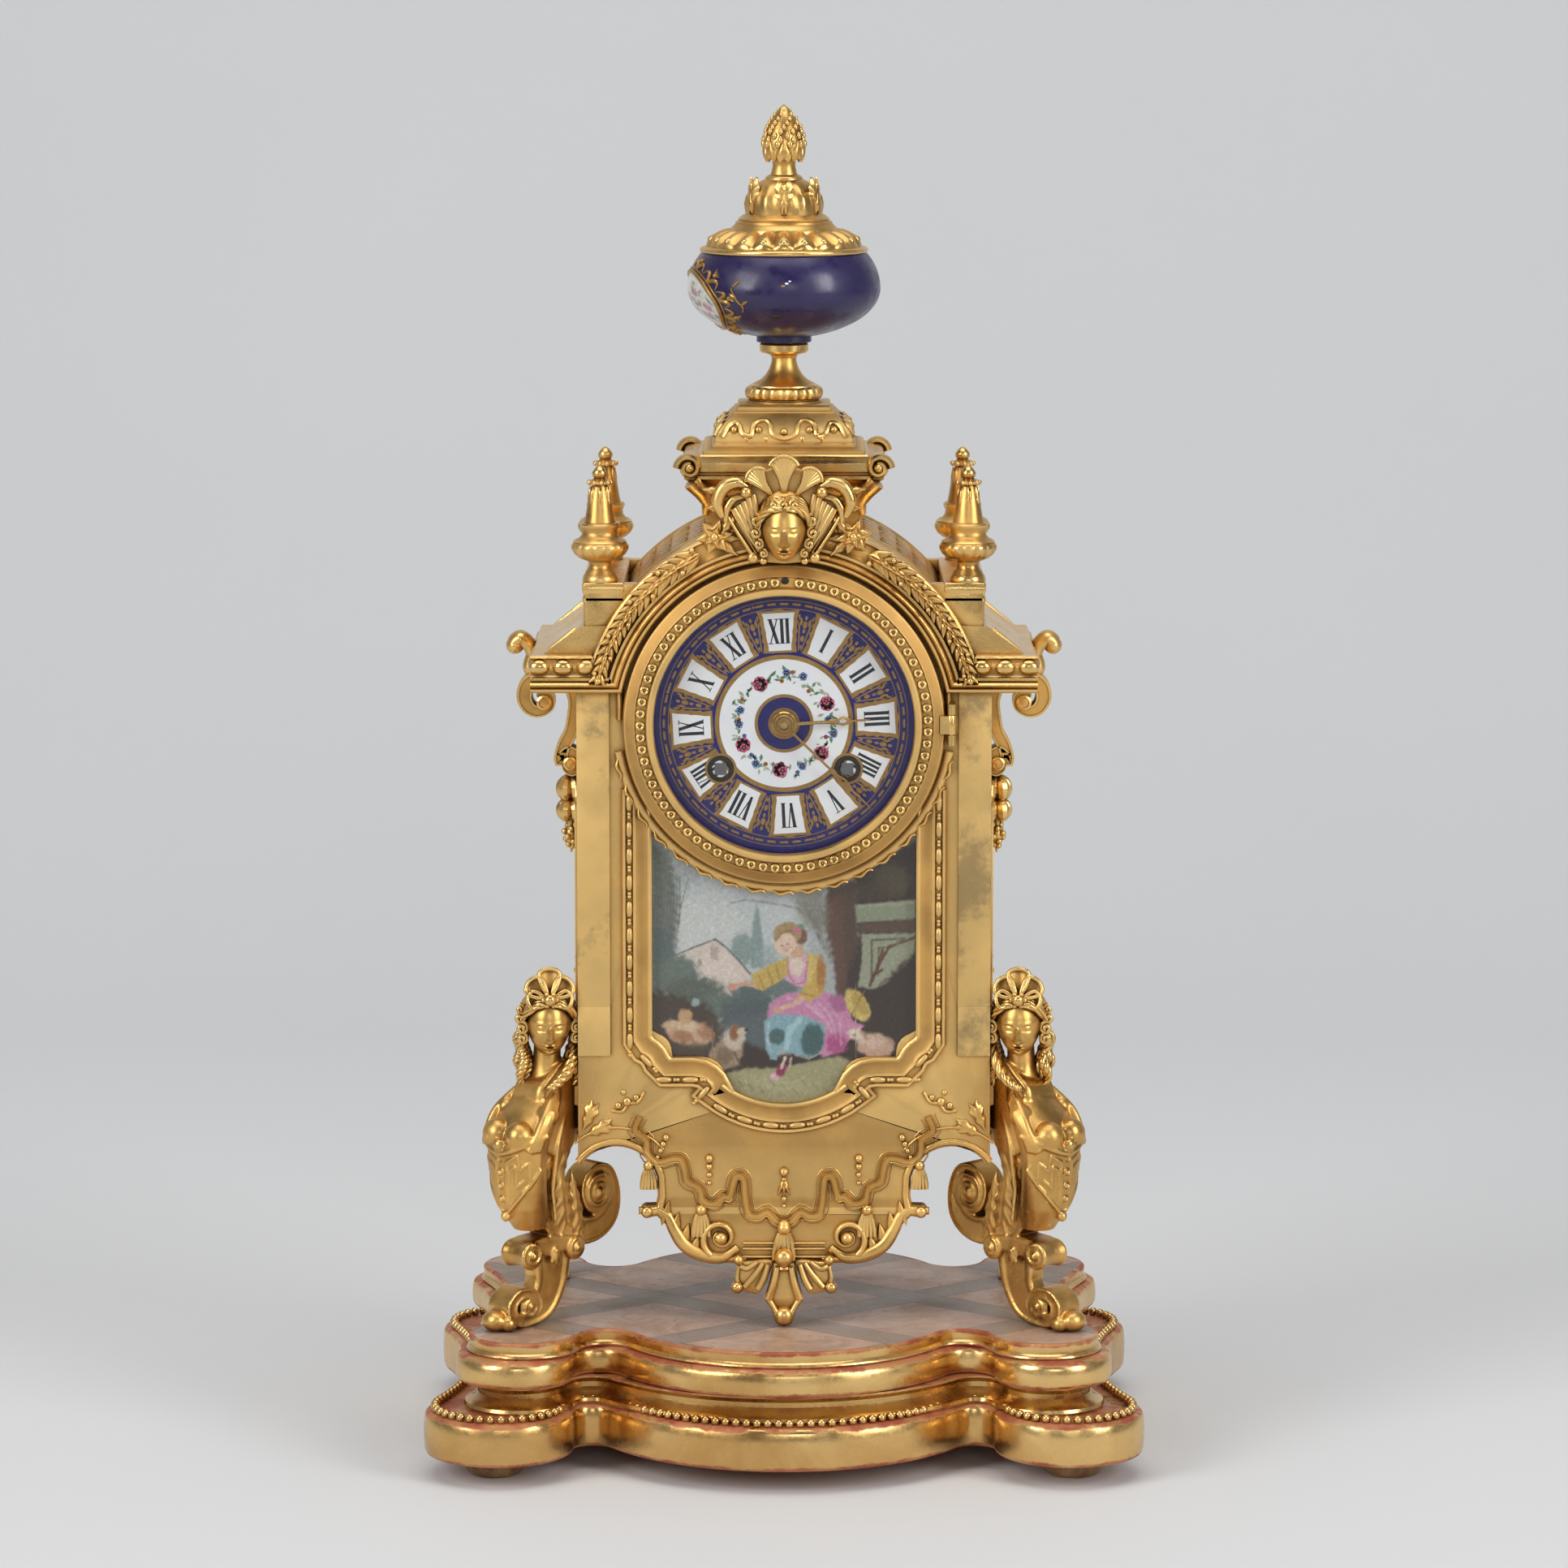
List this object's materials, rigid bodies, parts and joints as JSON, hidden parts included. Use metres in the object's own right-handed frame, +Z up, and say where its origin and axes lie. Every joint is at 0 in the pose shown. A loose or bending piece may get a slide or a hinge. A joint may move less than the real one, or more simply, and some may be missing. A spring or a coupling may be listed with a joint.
{
  "type": "mantel clock",
  "caption": "Gilt mantel clock with porcelain dial, painted panel and urn on caryatid feet and a shaped giltwood stand.",
  "frame": {"origin": "under the centre of the stand, on the surface it stands on", "axes": "+Z up, the dial faces -Y, +X to the right of the dial as it is read"},
  "size_m": [0.2258, 0.173, 0.427],
  "materials": {
    "gilt_bronze": "fire-gilt cast bronze, matt grounds and burnished high points",
    "gilt_wood": "carved wood, water-gilt over red bole",
    "turned_wood": "turned and bronzed wood, rubbed",
    "parquetry": "veneered lattice, waxed",
    "painted_porcelain": "glazed and hand painted",
    "cobalt_porcelain": "high-gloss cobalt glaze",
    "dial_porcelain": "glazed white with cobalt ground and gold",
    "clear_glass": "clear bevelled flat glass",
    "steel": "polished and blued steel",
    "bell_metal": "turned bell bronze",
    "movement_brass": "lacquered brass",
    "gilt_hands": "gilt, polished"
  },
  "bodies": {
    "clock": {"stand_feet": "turned_wood", "stand_base": "gilt_wood", "stand_bead_strip": "gilt_wood", "stand_cove": "gilt_wood", "stand_moulding": "gilt_wood", "stand_top": "parquetry", "case_front": "gilt_bronze", "frame_moulding": "gilt_bronze", "arch_cornice": "gilt_bronze", "porcelain_panel": "painted_porcelain", "pilasters": "gilt_bronze", "case_side_left": "gilt_bronze", "case_side_right": "gilt_bronze", "case_back": "gilt_bronze", "roof_barrel": "gilt_bronze", "shoulders": "gilt_bronze", "finial_piers": "gilt_bronze", "corner_finials": "gilt_bronze", "roof_slab": "gilt_bronze", "urn_pedestal": "gilt_bronze", "urn_foot": "gilt_bronze", "urn_body": "cobalt_porcelain", "urn_lid": "gilt_bronze", "pine_finial": "gilt_bronze", "tie_rod": "steel", "crest_mask": "gilt_bronze", "garlands": "gilt_bronze", "scroll_left": "gilt_bronze", "scroll_right": "gilt_bronze", "leg_front_left": "gilt_bronze", "leg_front_right": "gilt_bronze", "rear_legs": "gilt_bronze", "apron_shell": "gilt_bronze", "dial_ring": "movement_brass", "dial": "dial_porcelain", "bezel_hinge": "movement_brass", "front_plate": "movement_brass", "back_plate": "movement_brass", "bell": "bell_metal"},
    "bezel": {"bezel": "gilt_bronze", "bezel_glass": "clear_glass"},
    "back_door": {"back_door": "movement_brass"},
    "minute": {"centre_wheel": "movement_brass", "minute_hand": "gilt_hands"},
    "hour": {"hour_wheel": "movement_brass", "hour_hand": "gilt_hands"},
    "motion_wheel": {"minute_wheel": "movement_brass"},
    "intermediate": {"intermediate_wheel": "movement_brass"},
    "going_barrel": {"going_barrel": "movement_brass"},
    "third": {"third_wheel": "movement_brass"},
    "escape": {"escape_wheel": "movement_brass"},
    "going_winding": {"going_arbor": "steel"},
    "strike_winding": {"strike_arbor": "steel"},
    "pendulum": {"pallet_arbor": "steel", "pendulum": "movement_brass"},
    "pin": {"pin_wheel": "movement_brass"},
    "strike_barrel": {"strike_barrel": "movement_brass"},
    "locking": {"locking_wheel": "movement_brass"},
    "fly": {"fly": "movement_brass"},
    "hammer": {"hammer": "steel"}
  },
  "joints": [
    {"name": "bezel_hinge_turn", "type": "hinge", "parent": "clock", "child": "bezel", "pos_m": [0.0522, -0.0455, 0.236], "axis": [0, 0, 1], "range_deg": [0, 95]},
    {"name": "back_door_turn", "type": "hinge", "parent": "clock", "child": "back_door", "pos_m": [0.0516, 0.0407, 0.236], "axis": [0, 0, 1], "range_deg": [-100, 0]},
    {"name": "minute_turn", "type": "hinge", "parent": "clock", "child": "minute", "pos_m": [0, 0, 0.236], "axis": [0, 1, 0], "continuous": true},
    {"name": "hour_turn", "type": "hinge", "parent": "clock", "child": "hour", "pos_m": [0, 0, 0.236], "axis": [0, 1, 0], "continuous": true},
    {"name": "motion_wheel_turn", "type": "hinge", "parent": "clock", "child": "motion_wheel", "pos_m": [0.006, 0, 0.24639], "axis": [0, 1, 0], "continuous": true},
    {"name": "intermediate_turn", "type": "hinge", "parent": "clock", "child": "intermediate", "pos_m": [0.01487, 0, 0.24191], "axis": [0, 1, 0], "continuous": true},
    {"name": "going_barrel_turn", "type": "hinge", "parent": "clock", "child": "going_barrel", "pos_m": [0.0198, 0, 0.2217], "axis": [0, 1, 0], "continuous": true},
    {"name": "third_turn", "type": "hinge", "parent": "clock", "child": "third", "pos_m": [-0.00631, 0, 0.24861], "axis": [0, 1, 0], "continuous": true},
    {"name": "escape_turn", "type": "hinge", "parent": "clock", "child": "escape", "pos_m": [0, 0, 0.26], "axis": [0, 1, 0], "continuous": true},
    {"name": "going_winding_turn", "type": "hinge", "parent": "clock", "child": "going_winding", "pos_m": [0.0198, 0, 0.2217], "axis": [0, 1, 0], "continuous": true},
    {"name": "strike_winding_turn", "type": "hinge", "parent": "clock", "child": "strike_winding", "pos_m": [-0.0198, 0, 0.2217], "axis": [0, 1, 0], "continuous": true},
    {"name": "pendulum_swing", "type": "hinge", "parent": "clock", "child": "pendulum", "pos_m": [0, 0, 0.2715], "axis": [0, 1, 0], "range_deg": [-4, 4]},
    {"name": "pin_wheel_turn", "type": "hinge", "parent": "clock", "child": "pin", "pos_m": [-0.02751, 0, 0.24102], "axis": [0, 1, 0], "continuous": true},
    {"name": "strike_barrel_turn", "type": "hinge", "parent": "clock", "child": "strike_barrel", "pos_m": [-0.0198, 0, 0.2217], "axis": [0, 1, 0], "continuous": true},
    {"name": "locking_turn", "type": "hinge", "parent": "clock", "child": "locking", "pos_m": [-0.02066, 0, 0.2508], "axis": [0, 1, 0], "continuous": true},
    {"name": "fly_turn", "type": "hinge", "parent": "clock", "child": "fly", "pos_m": [-0.01998, 0, 0.26054], "axis": [0, 1, 0], "continuous": true},
    {"name": "hammer_lift", "type": "hinge", "parent": "clock", "child": "hammer", "pos_m": [-0.03, 0, 0.212], "axis": [0, 1, 0], "range_deg": [-12, 0], "stiffness_Nm_per_rad": 0.01}
  ],
  "couplings": [
    {"joint": "hour_turn", "follows": "minute_turn", "ratio": 0.083333},
    {"joint": "motion_wheel_turn", "follows": "minute_turn", "ratio": -0.33333},
    {"joint": "intermediate_turn", "follows": "minute_turn", "ratio": -0.14286},
    {"joint": "going_barrel_turn", "follows": "minute_turn", "ratio": 0.018634},
    {"joint": "third_turn", "follows": "minute_turn", "ratio": -12},
    {"joint": "escape_turn", "follows": "minute_turn", "ratio": 132},
    {"joint": "strike_barrel_turn", "follows": "pin_wheel_turn", "ratio": -0.13043},
    {"joint": "locking_turn", "follows": "pin_wheel_turn", "ratio": -10},
    {"joint": "fly_turn", "follows": "pin_wheel_turn", "ratio": 80}
  ]
}
